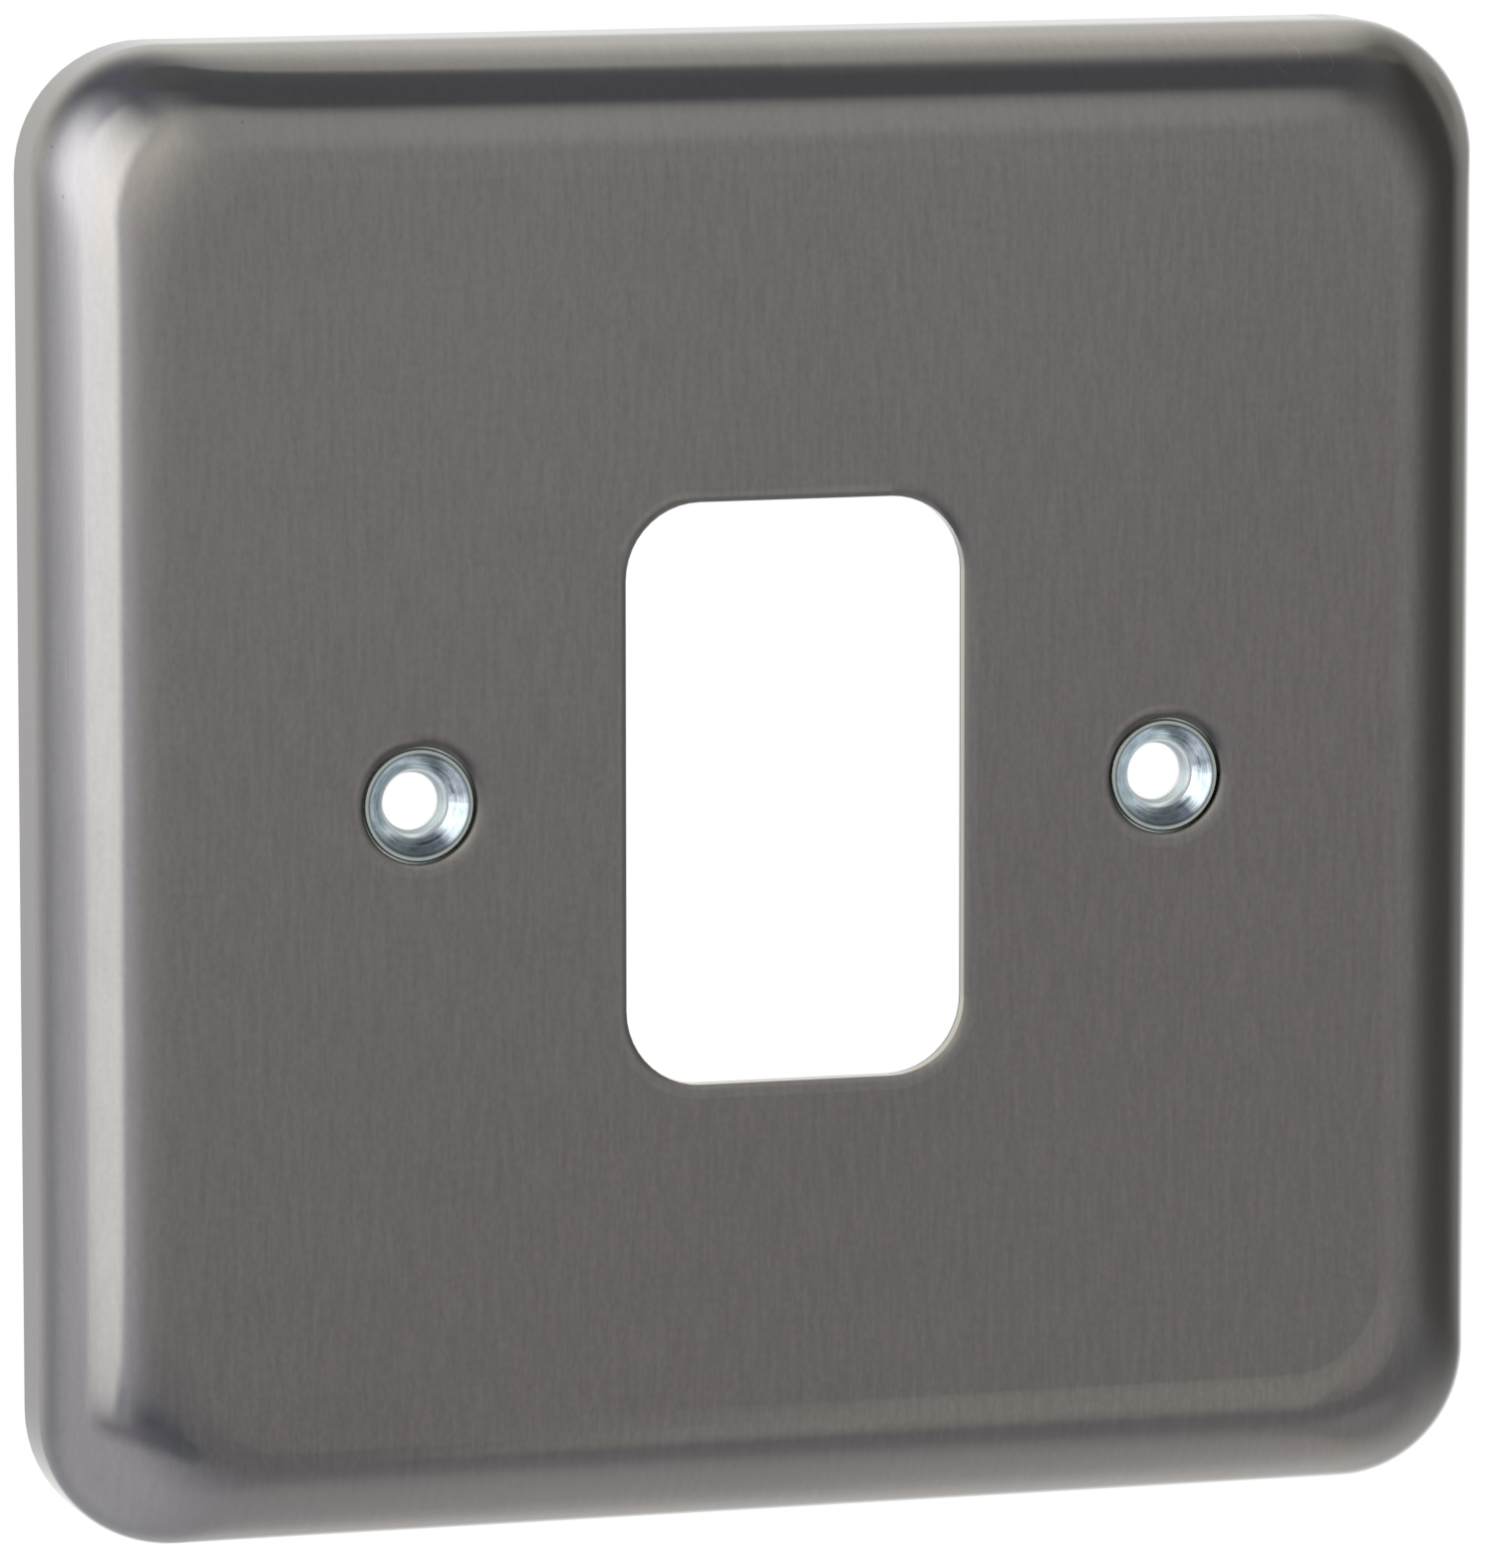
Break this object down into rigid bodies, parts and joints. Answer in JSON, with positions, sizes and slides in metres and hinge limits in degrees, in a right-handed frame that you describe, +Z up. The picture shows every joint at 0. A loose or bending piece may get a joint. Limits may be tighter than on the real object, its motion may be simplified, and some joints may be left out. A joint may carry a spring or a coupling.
{
  "type": "grid switch front plate",
  "caption": "One-gang grid switch plate: pressed metal shell with rolled edges, a rounded window for a switch module and countersunk screw bushes beside it.",
  "frame": {"origin": "centre of the rear rim, in the plane that rests on the wall, level with the screw bushes", "axes": "-Y out of the wall through the front face, +Z up, +X to the right seen from the front"},
  "size_m": [0.086, 0.011, 0.086],
  "materials": {
    "brushed_shell": "brushed upright, satin lacquer",
    "zinc_bush": "turned, bright zinc plate"
  },
  "bodies": {
    "root": {"front_plate": "brushed_shell", "screw_bush_left": "zinc_bush", "screw_bush_right": "zinc_bush"}
  },
  "joints": []
}
